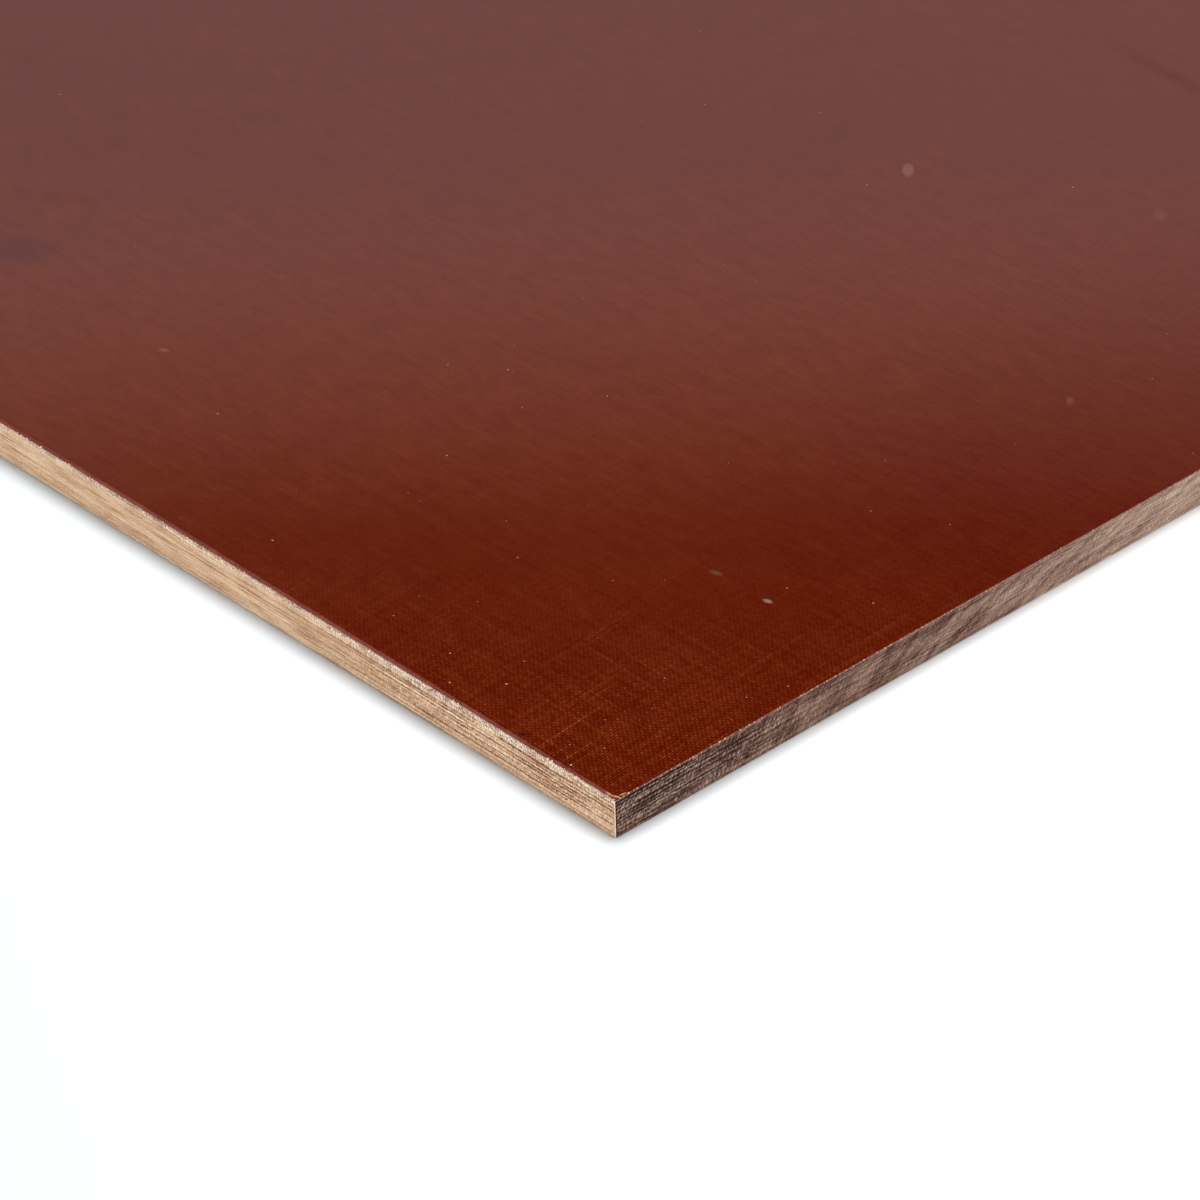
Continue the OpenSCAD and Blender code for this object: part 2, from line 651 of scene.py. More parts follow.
def specks(tree, position, shown, from_end, from_front):
    """Small pale specks in the resin: most where it is thin, and by the near corner."""
    cells = {"Vector": position, "Scale": SPECK_RATE}
    distance = tree.node("ShaderNodeTexVoronoi", {"voronoi_dimensions": "2D"}, cells)
    growth, rank, strength = tree.axes(tree.other(distance, "Color"))
    size = growth * growth * SPECK_GROWTH + SPECK_SIZE
    by_front = 1.0 - tree.ramp(from_front, *SPECKLED_FROM_FRONT)
    by_front = by_front * (1.0 - tree.ramp(from_end, *SPECKLED_FROM_END))
    rank = rank + shown * SPECKS_IN_THIN + by_front * SPECKS_BY_FRONT
    speck = tree.ramp(size - distance, *SPECK_BORDER) * tree.ramp(rank, *SPECK_BAND)
    return speck, strength * SPECK_SHARE_SPREAD + SPECK_SHARE


def mark(tree, x, y, place, reach, turn, soft):
    """One spot or streak on the top face: 1 inside and 0 outside an oval with a soft border."""
    away_x = x - (HIGH.x - place[0] * MM)
    away_y = y - (LOW.y + place[1] * MM)
    angle = math.radians(turn)
    along = (away_x * math.cos(angle) + away_y * math.sin(angle)) / (reach[0] * MM)
    across = (away_y * math.cos(angle) - away_x * math.sin(angle)) / (reach[1] * MM)
    distance = (along * along + across * across).math("SQRT")
    return 1.0 - tree.ramp(distance, 1.0 - soft, 1.0 + soft)


def long_border(tree, cross_count, edge, from_end):
    """Along the front and back: resin that thins out, and cotton where the saw broke it off."""
    teeth = tree.noise(tree.vector(cross_count, 3.0, 0.0), scale=TEETH_RATE, detail=1.0) - 0.5
    lumps = tree.noise(tree.vector(cross_count, 8.0, 0.0), scale=LUMPS_RATE) - 0.5
    inward = edge * (1.0 + tree.ramp(from_end, *DUSTY_REACH) * THIN_NARROWING)
    thin = 1.0 - tree.ramp(inward + (teeth + lumps) * THIN_RAGGED, *THIN_BAND)
    faded = tree.noise(tree.vector(cross_count, 14.0, 0.0), scale=FADES_RATE)
    thin = thin * (tree.ramp(faded, *THIN_FADES) * THIN_SHARE_SPREAD + THIN_SHARE)
    bare = tree.ramp(BARE_REACH + (teeth + lumps) * BARE_RAGGED - edge, *BARE_BORDER)
    return thin, bare


def end_border(tree, long_count, end, from_front):
    """Along the ends: a worn line that comes and goes, and small nicks down to the cotton."""
    patchy = tree.noise(tree.vector(long_count, 9.0, 0.0), scale=PATCHES_RATE, detail=3.0)
    worn = 1.0 - tree.ramp(end, *WORN_BAND)
    worn = worn * tree.ramp(from_front, *WORN_REACH) * tree.ramp(patchy, *WORN_PATCHES)
    nicks = tree.noise(tree.vector(long_count, 5.0, 0.0), scale=NICKS_RATE, detail=3.0) - 0.5
    bare = tree.ramp(nicks * BARE_END_RAGGED - end, *BARE_BORDER)
    bare = bare * (1.0 - tree.ramp(from_front, *BARE_END_REACH) * BARE_END_LOSS)
    return worn, bare


def pressed_face_material():
    """Clear red-brown resin over fine plain-weave cotton, satin-gloss from the press."""
    material, tree = new_material("pressed resin face")
    position = tree.node("ShaderNodeTexCoord", output="Object")
    x, y = tree.axes(position)[:2]
    from_end, from_front = HIGH.x - x, y - LOW.y
    from_corner = (from_end + from_front) * math.sqrt(0.5)
    counts = thread_values(tree, x, y)
    shown = cloth_shown(tree, x, y)
    weave, tones, thick = cloth_under_resin(tree, x, y, counts, shown)
    grain = tree.noise(position, scale=GRAIN_RATE) - 0.5
    cloud = tree.noise(position, scale=CLOUD_RATE, detail=4.0, roughness=0.6) - 0.5
    streaks = tree.vector(x * STREAK_RATES[0], y * STREAK_RATES[1], 3.0)
    mottle = tree.noise(streaks, detail=4.0, roughness=0.65) - 0.5

    light = weave + tones * YARN_CONTRAST + thick * SLUB_CONTRAST + grain * GRAIN_CONTRAST
    light = light * shown
    # Yarn shines through more than the gaps beside it fall off
    light = light + light.math("ABSOLUTE") * SHINE_THROUGH
    light = light + cloud * CLOUD_CONTRAST * (shown + DEEP_CLOUD) + mottle * MOTTLE_CONTRAST
    # Painted shade: darker far from the near corner
    darker = tree.ramp(from_corner, *DARKER_REACH)
    light = light + tree.ramp(from_corner, *LIGHTER_REACH) * LIGHTER_RESIN - darker * FAR_PAINTED_SHADE
    # Painted shade: darker by the right end, away from the front
    by_end = (1.0 - tree.ramp(from_end, *END_REACH)) * tree.ramp(from_front, *END_START)
    light = light + FACE_LIGHT - by_end * (1.0 - darker) * END_PAINTED_SHADE
    base = tree.node("ShaderNodeValToRGB", {"stops": FACE_TONES}, {"Fac": light})

    speck, strength = specks(tree, position, shown, from_end, from_front)
    strength = speck * strength * (1.0 - darker * SPECKS_LOST_IN_DARK)
    base = tree.mix(strength, base, SPECK_COLOUR)
    for place, reach, turn, soft, share, tone in FACE_MARKS:
        base = tree.mix(mark(tree, x, y, place, reach, turn, soft) * share, base, tone)

    edge = from_front.math("MINIMUM", HIGH.y - y)
    end = from_end.math("MINIMUM", x - LOW.x)
    thin, bare = long_border(tree, counts[1], edge, from_end)
    worn, bare_end = end_border(tree, counts[0], end, from_front)
    base = tree.mix(thin, base, THIN_TONE)
    base = tree.mix(worn * WORN_SHARE, base, WORN_TONE)
    base = tree.mix(bare, base, BARE_COTTON)
    base = tree.mix(bare_end, base, BARE_END_COTTON)

    roughness = (cloud + grain) * UNEVEN_ROUGHNESS + (thin + worn) * WORN_ROUGHNESS
    roughness = roughness + speck * SPECK_ROUGHNESS + bare.math("MAXIMUM", bare_end) * BARE_ROUGHNESS
    roughness = roughness + FACE_ROUGHNESS
    for place, reach, turn, soft, extra in DULL_STREAKS:
        roughness = roughness + mark(tree, x, y, place, reach, turn, soft) * extra
    relief = weave + (grain + tones) * YARN_RELIEF + mottle * WAVINESS
    values = {"Base Color": base, "Roughness": roughness, "IOR": RESIN_IOR}
    finish_material(tree, {**values, "Normal": bump(tree, FACE_BUMP, relief)})
    return material


# ---- Finish of the sawn cuts and of the raw cotton ---------------------------
def uneven_plies(tree, run, z, height, look):
    """Height counted in plies of uneven thickness, which wave a little; also the wave's two parts."""
    sway = tree.noise(tree.vector(run, 0.0, 0.0), scale=SWAY_RATE, detail=3.0) - 0.5
    ripple = tree.noise(tree.vector(run, z * 2.0, 4.0), scale=RIPPLE_RATE) - 0.5
    upwards, along = UNEVEN_RATES
    uneven = tree.noise(tree.vector(height * upwards, 1.0, run * along), detail=1.0) - 0.5
    layer = height * PLIES + sway * SWAY_PLIES + ripple * look["ripple"] + uneven * UNEVEN_PLIES
    return layer, sway, ripple


def cut_threads(tree, run, layer, look):
    """Cut threads, one dot each, no two alike; they go over and under by turns along each ply."""
    ply = layer.math("FLOOR")
    jitter = tree.noise(tree.vector(run, ply * JITTER_STEP, 6.0), scale=JITTER_RATE) - 0.5
    shift = tree.node("ShaderNodeTexWhiteNoise", {"noise_dimensions": "1D"}, {"W": ply})
    thread = run / look["thread_pitch"] + ply + shift * THREAD_SHIFT + jitter * THREAD_JITTER
    thread = thread - (layer - ply) * look["slant"]
    cell = tree.vector(thread.math("FLOOR"), ply, 0.0)
    own_tone = tree.node("ShaderNodeTexWhiteNoise", {"noise_dimensions": "2D"}, {"Vector": cell})
    turns = (thread * math.pi).math("SINE")
    dot = turns.math("ABSOLUTE")
    yarn = dot * (layer * math.pi).math("SINE").math("ABSOLUTE") * own_tone - MEAN_YARN
    clear = tree.noise(tree.vector(run * CLEAR_RATE, layer * CLEAR_STEP, 2.0), detail=1.0)
    turns = turns * tree.ramp(clear, *CLEAR_BAND) * (own_tone + 0.5)
    return own_tone, dot, yarn, turns


def resin_joints(tree, run, layer, dot, look):
    """Resin-rich joints between the plies: dark lines that come and go."""
    joint = layer.math("ROUND")
    place = tree.vector(run * look["joint_rate"], joint * JOINT_STEP, 2.0)
    strength = tree.noise(place, detail=4.0, roughness=0.62)
    strength = tree.ramp(strength, look["joint_from"], look["joint_from"] + JOINT_SOFTNESS)
    line = 1.0 - tree.ramp((layer - joint).math("ABSOLUTE"), *JOINT_WIDTHS)
    return line * strength * (1.0 - dot * look["dotted"])


def saw_strokes(tree, run, z):
    """Marks that the saw's teeth left, leaning along the run."""
    slope = tree.ramp(run, *STROKES_LEAN_REACH) * STROKES_LEAN_GAIN + STROKES_LEAN
    sideways, upwards, along = STROKES_RATES
    place = tree.vector((run - z * slope) * sideways, z * upwards, run * along)
    return tree.noise(place, detail=3.0, roughness=0.6) - 0.5


def sawn_material(name, look):
    """A cut through all the plies: rows of cut threads, dark resin between them, and saw marks."""
    material, tree = new_material(name)
    position = tree.node("ShaderNodeTexCoord", output="Object")
    axes = tree.axes(position)
    run, z = axes[look["run_axis"]] - look["start"], axes[2]
    height = (z - LOW.z) / THICKNESS
    away = look["length"] - run if look["crisp_end"] == "far" else run
    sawn = tree.ramp(away, look["saw_from"], look["saw_full"])
    struck = tree.ramp(away, look["saw_from"] - STROKES_AHEAD, look["saw_full"])
    far = tree.ramp(away, look["saw_full"], look["saw_full"] * FAR_RATIO)

    layer, sway, ripple = uneven_plies(tree, run, z, height, look)
    own_tone, dot, yarn, turns = cut_threads(tree, run, layer, look)
    dark_line = resin_joints(tree, run, layer, dot, look)
    saw = saw_strokes(tree, run, z)
    fibre = tree.noise(position, scale=FIBRE_RATE, roughness=0.7) - 0.5
    dash_place = tree.vector(run * look["dash_rate"], layer * DASH_STEP, 3.0)
    dash = tree.noise(dash_place, detail=3.0, roughness=0.6) - 0.5
    ply_place = tree.vector(run * PLY_TONE_RATE, layer.math("FLOOR") * PLY_TONE_STEP, 5.0)
    ply_tone = tree.noise(ply_place, detail=4.0, roughness=0.6) - 0.5
    line_height = height * look["line_rate"] + (sway + ripple) * LINE_WAVE
    line = tree.noise(tree.vector(run * LINE_RATE, line_height, 7.0)) - 0.5
    band = tree.noise(tree.vector(run * BAND_RATE, layer * BAND_STEP, 9.0)) - 0.5
    blotch_place = tree.vector(run * look["blotch_rate"], layer * BLOTCH_STEP, 12.0)
    blotch = tree.noise(blotch_place) - 0.5

    fine = yarn * look["yarn"] + dash * look["dash"] + turns * look["turns"]
    fine = fine + fibre * look["fibre"] - dark_line * look["joint"]
    wide = ply_tone * look["ply"] + line * look["line"]
    wide = wide + blotch * (look["blotch"] + sawn * look["far_blotch"])
    light = fine * (1.0 - sawn * look["calm"]) + wide * (1.0 - sawn * look["calm_wide"])
    # Painted light: lighter towards the foot and darker towards the top
    light = light + look["light"] + band * look["band"] - (height - 0.5) * look["painted_light_tilt"]
    light = light + saw * struck * (1.0 - far * STROKES_LOST_FAR) * look["saw"]
    # Painted light: the cut grows lighter far from its crisp end
    light = light + far * look["far_painted_light"]
    top = tree.ramp(height + ripple * TOP_DARK_RIPPLE, *TOP_DARK_BAND)
    light = light - top * (1.0 - sawn) * look["top_dark"]
    base = tree.node("ShaderNodeValToRGB", {"stops": look["stops"]}, {"Fac": light})
    # A band along the foot: on the long cut painted light that lifts the shade next to the floor, on
    # the cross cut a little darker towards the floor
    foot_full = look["foot"] * FOOT_TONE_FULL
    foot = 1.0 - tree.ramp(height + sway * FOOT_TONE_SWAY, foot_full, look["foot"])
    base = tree.mix(foot * (1.0 - sawn) * look["foot_share"], base, look["foot_colour"])

    # Frayed rim: every cut thread reaches down to its own depth
    reach = height + (own_tone - 0.5) * RIM_BY_THREAD + ripple * RIM_BY_RIPPLE
    reach = reach + sway * RIM_BY_SWAY + blotch * RIM_BY_BLOTCH
    reach = reach + (1.0 - tree.ramp(away, *RIM_FLARE_REACH)) * look["rim_flare"]
    rim = tree.ramp(reach, *(1.0 - look["rim"] * share for share in RIM_BORDER))
    strands = tree.noise(tree.vector(run * STRAND_TONE_RATE, height * 3.0, 8.0), detail=1.0)
    rim_tone = strands * RIM_TONE_BY_STRAND + dot * RIM_TONE_BY_THREAD + fibre * RIM_TONE_BY_FIBRE
    rim_tone = tree.ramp(rim_tone, *RIM_TONE_BAND)
    rim = rim * look["rim_share"] * (1.0 - sawn * RIM_LOST_WHERE_SAWN)
    base = tree.mix(rim, base, tree.mix(rim_tone, look["rim_shade"], look["rim_light"]))
    broken = run.math("MINIMUM", look["length"] - run) + (ripple + fibre) * CORNER_RAGGED
    corner = 1.0 - tree.ramp(broken, look["corner"] * 0.5, look["corner"])
    base = tree.mix(corner * look["corner_share"], base, look["corner_colour"])

    relief = yarn * CUT_RELIEF_YARN + dash * CUT_RELIEF_DASH - dark_line + fibre
    relief = relief + saw * sawn * CUT_RELIEF_SAW
    normal = bump(tree, CUT_BUMP, relief)
    finish_material(tree, {"Base Color": base, "Normal": normal, **DRY_CUT})
    return material


def fray_material(name, pale, shade):
    """Raw cotton that the saw has pulled out of the resin."""
    material, tree = new_material(name)
    position = tree.node("ShaderNodeTexCoord", output="Object")
    axes = tree.axes(position)
    strands = tree.noise(position, scale=STRAND_RATE, detail=3.0)
    tufts = tree.noise(position, scale=TUFT_RATE)
    cotton = strands * COTTON_BY_STRAND + tufts * COTTON_BY_TUFT
    base = tree.mix(tree.ramp(cotton, *COTTON_BAND), shade, pale)
    base = tree.mix(tree.ramp(HIGH.x - axes[0], *DUSTY_REACH) * DUSTY_SHARE, base, DUSTY_TONE)
    # Resin still stains the ends next to the pressed face
    stain = tree.ramp(axes[2] + (tufts - 0.5) * STAIN_DEPTH, HIGH.z - STAIN_DEPTH, HIGH.z)
    base = tree.mix(stain * STAIN_SHARE, base, STAIN_TONE)
    normal = bump(tree, COTTON_BUMP, strands)
    finish_material(tree, {"Base Color": base, "Normal": normal, **DRY_COTTON})
    return material


# ---- The pressed sheet -------------------------------------------------------
def ring_outline(long_inset, cross_inset):
    """Plan outline of the sheet with the front and back, and the two ends, moved in."""
    radius = CORNER_RADIUS + long_inset * 0.5
    points = []
    for quarter in range(4):
        side_x = 1 if quarter in (0, 3) else -1
        side_y = 1 if quarter in (0, 1) else -1
        centre_x = MIDDLE.x + side_x * (LENGTH / 2 - cross_inset - radius)
        centre_y = MIDDLE.y + side_y * (WIDTH / 2 - long_inset - radius)
        for step in range(CORNER_STEPS + 1):
            angle = math.radians(90.0 * (quarter + step / CORNER_STEPS))
            points.append((centre_x + radius * math.cos(angle), centre_y + radius * math.sin(angle)))
    return points


def pressed_sheet(material):
    """Both pressed faces with their rolled arrises, on the core behind the sawn edges."""
    rings = [tuple(size * MM for size in step) for step in ARRIS_ROLL]
    rings.append((LIP_DEPTH, CORE_INSET, CORE_INSET))
    levels = [(HIGH.z - drop, long_in, cross_in) for drop, long_in, cross_in in rings]
    levels += [
        (LOW.z + drop, long_in + UNDER_SET_BACK, cross_in + UNDER_SET_BACK)
        for drop, long_in, cross_in in reversed(rings)
    ]

    mesh = bmesh.new()
    loops = []
    for level, long_inset, cross_inset in levels:
        outline = ring_outline(long_inset, cross_inset)
        loops.append([mesh.verts.new((x, y, level)) for x, y in outline])
    count = len(loops[0])
    for upper, lower in zip(loops, loops[1:]):
        for index in range(count):
            after = (index + 1) % count
            mesh.faces.new((upper[index], lower[index], lower[after], upper[after]))
    mesh.faces.new(loops[0])
    mesh.faces.new(list(reversed(loops[-1])))
    bmesh.ops.recalc_face_normals(mesh, faces=mesh.faces)
    for face in mesh.faces:
        face.smooth = len(face.verts) == 4
    return new_piece("pressed_sheet", mesh, material)


# ---- Geometry Nodes: sawn edges and the cotton along them --------------------
class GeometryTree(Tree):
    """A Geometry Nodes tree with named inputs: its own, and Turn, Place and Material."""

    def __init__(self, name, floats, integers):
        self.group = bpy.data.node_groups.new(name, "GeometryNodeTree")
        self.add_sockets("OUTPUT", "NodeSocketGeometry", ["Geometry"])
        self.add_sockets("INPUT", "NodeSocketFloat", floats)
        self.add_sockets("INPUT", "NodeSocketInt", integers)
        self.add_sockets("INPUT", "NodeSocketVector", ["Turn", "Place"])
        self.add_sockets("INPUT", "NodeSocketMaterial", ["Material"])
        super().__init__(self.group)
        self.source = self.nodes.new("NodeGroupInput")

    def add_sockets(self, direction, kind, labels):
        for label in labels:
            self.group.interface.new_socket(name=label, in_out=direction, socket_type=kind)

    def input(self, label):
        return Socket(self, self.source.outputs[label])

    def choose(self, switch, when_false, when_true):
        values = {"Switch": switch, "False": when_false, "True": when_true}
        return self.node("GeometryNodeSwitch", {"input_type": "VECTOR"}, values)

    def random(self, low, high, seed):
        values = {2: low, 3: high, "Seed": seed}
        return self.node("FunctionNodeRandomValue", {"data_type": "FLOAT"}, values, output=1)

    def line(self, count):
        """Points that all lie at the start, ready to be placed."""
        return self.node("GeometryNodeMeshLine", None, {"Count": count, "Offset": (0.0, 0.0, 0.0)})

    def place(self, geometry, position):
        values = {"Geometry": geometry, "Position": position}
        return self.node("GeometryNodeSetPosition", None, values)

    def scatter(self, points, shape, lean, scale):
        values = {"Points": points, "Instance": shape, "Rotation": lean, "Scale": scale}
        return self.node("GeometryNodeInstanceOnPoints", None, values)

    def put(self, geometry):
        """Turns and moves a finished shape to its place on the sheet."""
        turn, place = self.input("Turn"), self.input("Place")
        values = {"Geometry": geometry, "Rotation": turn, "Translation": place}
        return self.node("GeometryNodeTransform", None, values)

    def end(self, geometry):
        realized = self.node("GeometryNodeRealizeInstances", None, [geometry])
        values = {"Geometry": realized, "Material": self.input("Material")}
        dressed = self.node("GeometryNodeSetMaterial", None, values)
        self.node("NodeGroupOutput", None, {"Geometry": dressed})

    def build(self, name, values):
        """Evaluates the tree with these inputs and returns a plain mesh object."""
        holder = new_object(name + "_holder", bpy.data.meshes.new(name + "_holder"))
        modifier = holder.modifiers.new("nodes", "NODES")
        modifier.node_group = self.group
        for item in self.group.interface.items_tree:
            if item.item_type == "SOCKET" and item.in_out == "INPUT":
                modifier[item.identifier] = values[item.name]
        graph = bpy.context.evaluated_depsgraph_get()
        data = bpy.data.meshes.new_from_object(holder.evaluated_get(graph))
        data.name = name
        bpy.data.objects.remove(holder)
        return new_object(name, data)


def sawn_edge_tree():
    """A closed bar along +X. Its outer face looks along -Y and has the relief of a sawn edge.

    A grid is wrapped round the bar: its first and last rows meet on a line inside the core, and its
    first and last stations shrink onto that line, which closes the two ends.
    """
    sizes = ["Length", "Height", "Core depth", "Inset", "Saw marks", "Fray", "Thread pitch", "Seed"]
    tree = GeometryTree("sawn edge", floats=sizes, integers=["Stations", "Rows"])
    length, height = tree.input("Length"), tree.input("Height")
    stations, rows = tree.input("Stations"), tree.input("Rows")
    fray, seed = tree.input("Fray"), tree.input("Seed")

    grid = {"Size X": 1.0, "Size Y": 1.0, "Vertices X": stations, "Vertices Y": rows + 2.0}
    sheet = tree.node("GeometryNodeMeshGrid", None, grid)
    flat = tree.axes(tree.node("GeometryNodeInputPosition"))
    station = ((flat[0] + 0.5) * (stations - 1.0)).math("ROUND")
    row = ((flat[1] + 0.5) * (rows + 1.0)).math("ROUND")
    run = tree.between((station - 1.0) / (stations - 3.0), 0.0, 1.0)
    rise = tree.between((row - 1.0) / (rows - 1.0), 0.0, 1.0)
    hidden = (row < 0.5).math("MAXIMUM", row > rows + 0.5)
    hidden = hidden.math("MAXIMUM", (station < 0.5).math("MAXIMUM", station > stations - 1.5))

    # Ragged top and bottom lines: one tooth for each cut thread, some of them pulled out
    near = CORNER_INSET + CORNER_RADIUS
    start = near - CORNER_RADIUS * math.sqrt(0.5)
    x = start + run * (length - 2.0 * start)
    thread = x / tree.input("Thread pitch") + seed
    tooth = (thread * math.pi).math("SINE").math("ABSOLUTE")
    pulled = tree.noise(tree.vector(thread.math("FLOOR") * PULLED_STEP, seed, 0.0), detail=1.0)
    ragged = fray * (TOOTH_DEPTH + pulled * (1.0 - tooth * PULLED_BETWEEN) * PULLED_DEPTH)
    top = height - TOP_GAP - ragged
    bottom = FOOT_GAP + ragged * FOOT_RAGGED
    z = bottom + (top - bottom) * rise

    # Relief of the face
    sway = tree.noise(tree.vector(x, seed, 0.0), scale=SEAM_SWAY_RATE, detail=3.0) - 0.5
    layer = z / height * PLIES + sway * SEAM_SWAY
    seam = ((layer * 2.0 * math.pi).math("COSINE") * 0.5 + 0.5) ** 3.0
    sideways, upwards, along = GROOVE_RATES
    groove_place = tree.vector((x - z * GROOVE_LEAN) * sideways, z * upwards, x * along + seed)
    groove = tree.noise(groove_place) - 0.5
    fibre = tree.noise(tree.vector(x, z, seed), scale=EDGE_FIBRE_RATE, detail=3.0) - 0.5
    wander = tree.noise(tree.vector(x, seed, 7.0), scale=EDGE_WANDER_RATE) - 0.5
    inset = tree.input("Inset") + wander * WANDER_DEPTH + seam * SEAM_DEPTH
    inset = inset - groove * tree.input("Saw marks") * GROOVE_DEPTH
    frayed = tree.ramp(rise, *FRAYED_BAND) * fray
    inset = inset - fibre * (FIBRE_DEPTH + frayed * FRAYED_FIBRE_DEPTH)
    inset = inset * (FOOT_INSET + (1.0 - FOOT_INSET) * tree.ramp(rise, *FOOT_BAND))

    # Towards the ends the relief dies out, and the last stations round the upright corner as far as
    # the mitre where the next edge begins
    from_end = x.math("MINIMUM", length - x)
    inset = tree.between(inset, *RELIEF_LIMITS)
    away = tree.ramp(from_end, near, near + RELIEF_FADE)
    inset = CORNER_INSET + (inset - CORNER_INSET) * away
    short = tree.between(near - from_end, 0.0, CORNER_RADIUS)
    inset = inset + CORNER_RADIUS - (CORNER_RADIUS ** 2 - short * short).math("SQRT")

    depth = tree.input("Core depth")
    core = tree.vector(tree.between(x, depth, length - depth), depth, height * 0.5)
    bar = tree.place(sheet, tree.choose(hidden, tree.vector(x, inset, z), core))
    values = {"Geometry": bar, "Distance": MERGE_DISTANCE}
    tree.end(tree.put(tree.node("GeometryNodeMergeByDistance", None, values)))
    return tree


def fray_tree():
    """Cotton along an arris that runs on +X: a row of small bundles, and loose hairs."""
    sizes = ["Length", "Height", "Thread pitch", "Bundle width", "Bundle length", "Bundle depth"]
    sizes += ["Lean back", "Set in", "Uneven", "Hair length"]
    tree = GeometryTree("cotton fray", floats=sizes, integers=["Hairs", "Seed"])
    length, height, seed = tree.input("Length"), tree.input("Height"), tree.input("Seed")
    wide, tall = tree.input("Bundle width"), tree.input("Bundle length")
    spread = length - 2.0 * CORNER_RADIUS

    # Bundles: most stand at the arris, and in clumps some hang lower
    pitch = tree.input("Thread pitch") * BUNDLE_SPACING
    points = tree.line((spread / pitch).math("FLOOR"))
    index = tree.node("GeometryNodeInputIndex")
    size = tree.random(*BUNDLE_SIZES, seed)
    half = tall * size * 0.5
    back = tree.random(0.0, 1.0, seed + 13.0) ** 2.0 * tree.input("Lean back")
    x = CORNER_RADIUS + (index + 0.5 + tree.random(*BUNDLE_SHIFTS, seed + 1.0)) * pitch
    clump = tree.ramp(tree.noise(tree.vector(x, seed, 0.0), scale=CLUMP_RATE), *CLUMP_BAND)
    low = tree.random(0.0, 1.0, seed + 2.0) ** 2.0 * LOW_BY_CHANCE + clump * LOW_IN_CLUMPS
    rise = (half * half + wide * wide * TILT_ALLOWANCE).math("SQRT")
    z = height - rise - low * tree.input("Uneven")
    thick = tree.input("Bundle depth")
    y = thick * 0.5 + half * back + tree.random(0.0, 1.0, seed + 3.0) * tree.input("Set in")
    points = tree.place(points, tree.vector(x, y, z))
    ball = tree.node("GeometryNodeMeshUVSphere", None, {"Segments": 6, "Rings": 4, "Radius": 0.5})
    scale = tree.vector(wide * tree.random(*BUNDLE_WIDTHS, seed + 4.0), thick, tall * size)
    lean = tree.vector(-back, tree.random(*BUNDLE_TILTS, seed + 5.0), 0.0)
    bundles = tree.scatter(points, ball, lean, scale)

    # Loose hairs between them
    reach = tree.input("Hair length")
    x = CORNER_RADIUS + spread * tree.random(0.0, 1.0, seed + 6.0)
    z = height - reach - tree.random(0.0, 1.0, seed + 7.0) * tall * HAIR_DROP
    y = tree.random(*HAIR_INSETS, seed + 8.0)
    points = tree.place(tree.line(tree.input("Hairs")), tree.vector(x, y, z))
    values = {"Vertices": 4, "Radius Top": 0.0, "Radius Bottom": 0.5, "Depth": 1.0}
    spike = tree.node("GeometryNodeMeshCone", {"fill_type": "TRIANGLE_FAN"}, values)
    thick = tree.random(*HAIR_THICKNESSES, seed + 9.0)
    own_length = reach * tree.random(*HAIR_LENGTHS, seed + 10.0)
    scale = tree.vector(thick, thick * HAIR_FLATNESS, own_length)
    lean_back = tree.random(*HAIR_LEANS, seed + 11.0)
    lean = tree.vector(lean_back, tree.random(*HAIR_TILTS, seed + 12.0), 0.0)
    loose = tree.scatter(points, spike, lean, scale)

    both = tree.node("GeometryNodeJoinGeometry", None, [bundles])
    tree.feed(both.output.node.inputs[0], loose)
    tree.end(tree.put(both))
    return tree


# ---- Stage: floor, light and camera ------------------------------------------
def direction_from(azimuth, elevation):
    """Unit vector towards a viewer at this azimuth and elevation."""
    turn, rise = math.radians(azimuth), math.radians(elevation)
    flat = math.cos(rise)
    return Vector((math.sin(turn) * flat, -math.cos(turn) * flat, math.sin(rise)))


def studio_floor(material):
    mesh = bmesh.new()
    bmesh.ops.create_grid(mesh, x_segments=1, y_segments=1, size=FLOOR_REACH)
    bmesh.ops.translate(mesh, verts=mesh.verts, vec=(0.0, 0.0, LOW.z))
    return new_piece("studio_floor", mesh, material)


def floor_material():
    """White, with painted shade: a little darker and bluer to the left of the near corner."""
    material, tree = new_material("white studio floor")
    x, y = tree.axes(tree.node("ShaderNodeTexCoord", output="Object"))[:2]
    turn = math.radians(VIEW_AZIMUTH)
    sideways = (x - HIGH.x) * math.cos(turn) + (y - LOW.y) * math.sin(turn)
    base = tree.mix(tree.ramp(sideways, *FLOOR_SPAN, smooth=False), *FLOOR_TONES)
    finish_material(tree, {"Base Color": base, "Roughness": 0.9, "IOR": 1.1})
    return material


def studio_world():
    """A pale wall all round up to a soft edge, and a dark ceiling over it."""
    world = bpy.data.worlds.new("studio")
    bpy.context.scene.world = world
    world.use_nodes = True
    world.node_tree.nodes.clear()
    tree = Tree(world.node_tree)
    direction = tree.node("ShaderNodeTexCoord", output="Generated")
    rise = tree.axes(direction)[2]
    low = math.sin(math.radians(WALL_TOP - WALL_SOFTNESS))
    high = math.sin(math.radians(WALL_TOP + WALL_SOFTNESS))
    wall = 1.0 - tree.ramp(rise, low, high)
    shade = tree.mix(wall, CEILING_RADIANCE, tree.mix(wall, WALL_EDGE_RADIANCE, WALL_RADIANCE))
    light = tree.node("ShaderNodeBackground", None, {"Color": shade, "Strength": 1.0})
    tree.node("ShaderNodeOutputWorld", None, {"Surface": light})


def area_light(name, place, size, power, tint, mirrored):
    """A soft rectangular light that looks at the middle of the sheet."""
    azimuth, elevation, distance = place
    data = bpy.data.lights.new(name, "AREA")
    data.shape = "RECTANGLE"
    data.size, data.size_y = size
    data.energy = power
    data.color = tint
    light = new_object(name, data)
    light.location = direction_from(azimuth, elevation) * distance
    light.rotation_euler = light.location.to_track_quat("Z", "Y").to_euler()
    light.visible_glossy = mirrored


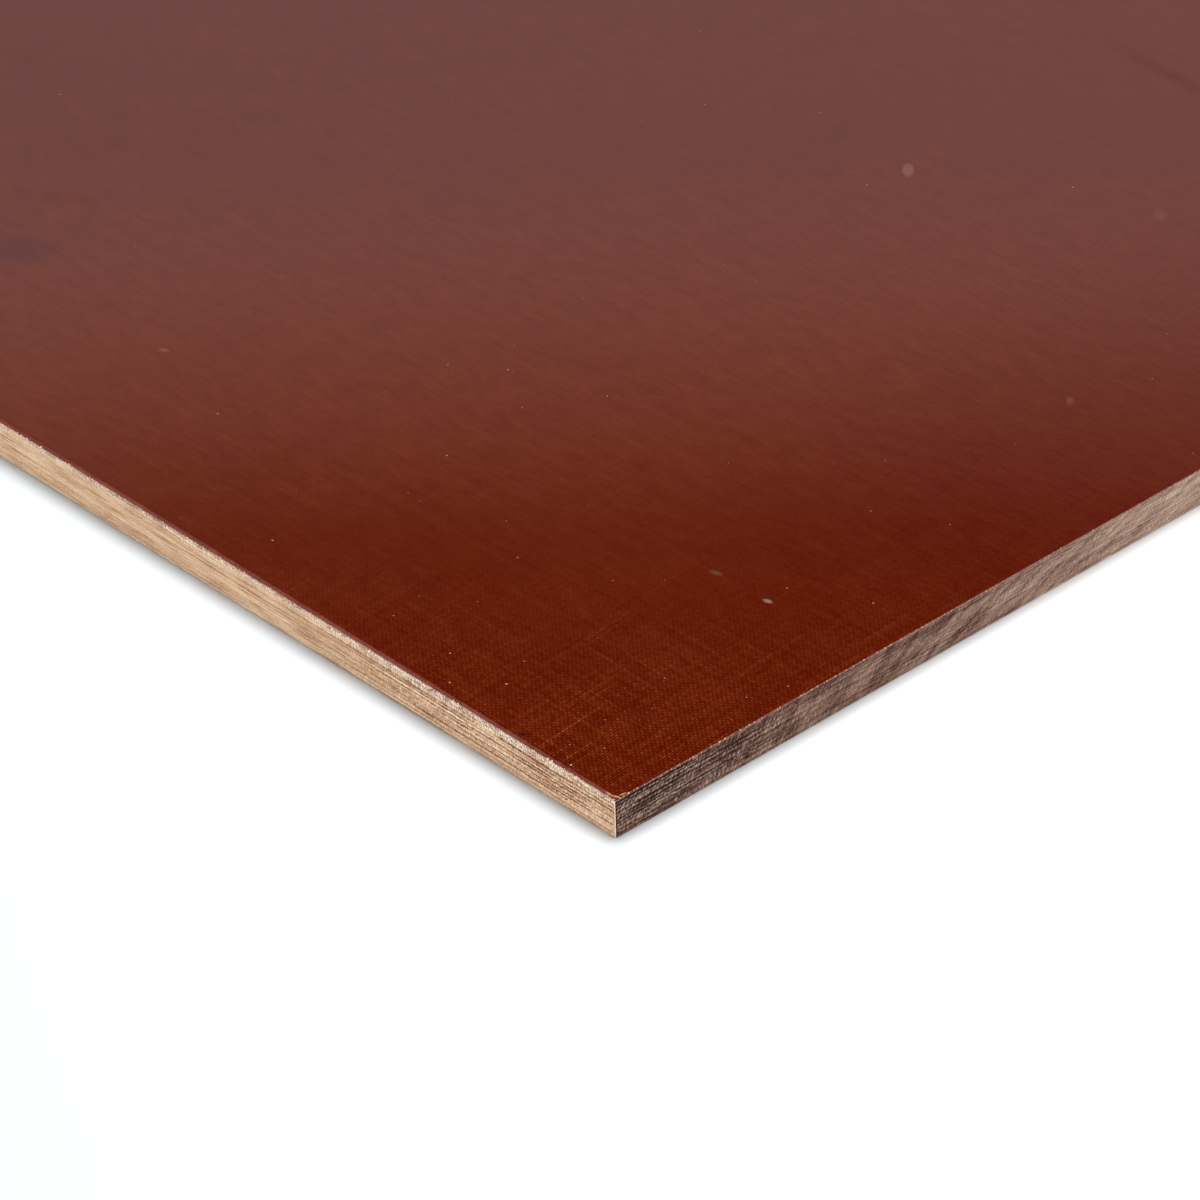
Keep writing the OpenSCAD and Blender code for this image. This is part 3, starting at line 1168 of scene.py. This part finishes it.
def studio_camera():
    data = bpy.data.cameras.new("camera")
    data.lens = LENS
    data.sensor_width = SENSOR
    data.clip_start, data.clip_end = CLIP
    camera = new_object("camera", data)
    back = direction_from(VIEW_AZIMUTH, VIEW_ELEVATION)
    aim = Vector((HIGH.x - AIM_FROM_CORNER[0], LOW.y + AIM_FROM_CORNER[1], HIGH.z))
    camera.location = aim + back * VIEW_DISTANCE
    level = back.to_track_quat("Z", "Y")
    roll = Euler((0.0, 0.0, math.radians(VIEW_ROLL))).to_quaternion()
    camera.rotation_mode = "QUATERNION"
    camera.rotation_quaternion = level @ roll
    bpy.context.scene.camera = camera


# ---- The parts, put together -------------------------------------------------
def edge_sides():
    """Each sawn edge: name, whether it is a long cut, run, turn about Z, start of its run."""
    yield "front", True, LENGTH, 0.0, (LOW.x, LOW.y, LOW.z)
    yield "right_end", False, WIDTH, math.pi / 2, (HIGH.x, LOW.y, LOW.z)
    yield "back", True, LENGTH, math.pi, (HIGH.x, HIGH.y, LOW.z)
    yield "left_end", False, WIDTH, -math.pi / 2, (LOW.x, HIGH.y, LOW.z)


def dress(piece):
    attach(piece, "root")


def build_sheet():
    body = pressed_sheet(pressed_face_material())
    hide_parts(NODE)
    dress(body)


def build_edges():
    """The four sawn edges and the cotton along each."""
    long_cut = sawn_material("edge sawn along the length", LONG_CUT)
    cross_cut = sawn_material("edge sawn across the length", CROSS_CUT)
    long_cotton = fray_material("pulled cotton", *LONG_COTTON)
    cross_cotton = fray_material("short cotton nap", *CROSS_COTTON)
    long_kind = ({**LONG_EDGE, "Material": long_cut}, {**LONG_FRAY, "Material": long_cotton})
    cross_kind = ({**CROSS_EDGE, "Material": cross_cut}, {**CROSS_FRAY, "Material": cross_cotton})
    edges, frays = sawn_edge_tree(), fray_tree()
    for order, (side, is_long, run, turn, start) in enumerate(edge_sides()):
        edge_kind, fray_kind = long_kind if is_long else cross_kind
        shared = {"Length": run, "Height": THICKNESS, "Turn": (0.0, 0.0, turn), "Place": start}
        values = {**shared, **EDGE_GRID, **edge_kind, "Seed": EDGE_SEED + order}
        dress(edges.build("sawn_edge_" + side, values))
        values = {**shared, **fray_kind, "Seed": FRAY_SEED + order}
        dress(frays.build("cotton_fray_" + side, values))


def main():
    bpy.context.scene.view_settings.view_transform = "Standard"
    studio_camera()
    studio_world()
    for name, light in STUDIO_LIGHTS.items():
        area_light(name, *light)
    studio_floor(floor_material())
    build_sheet()
    build_edges()


main()
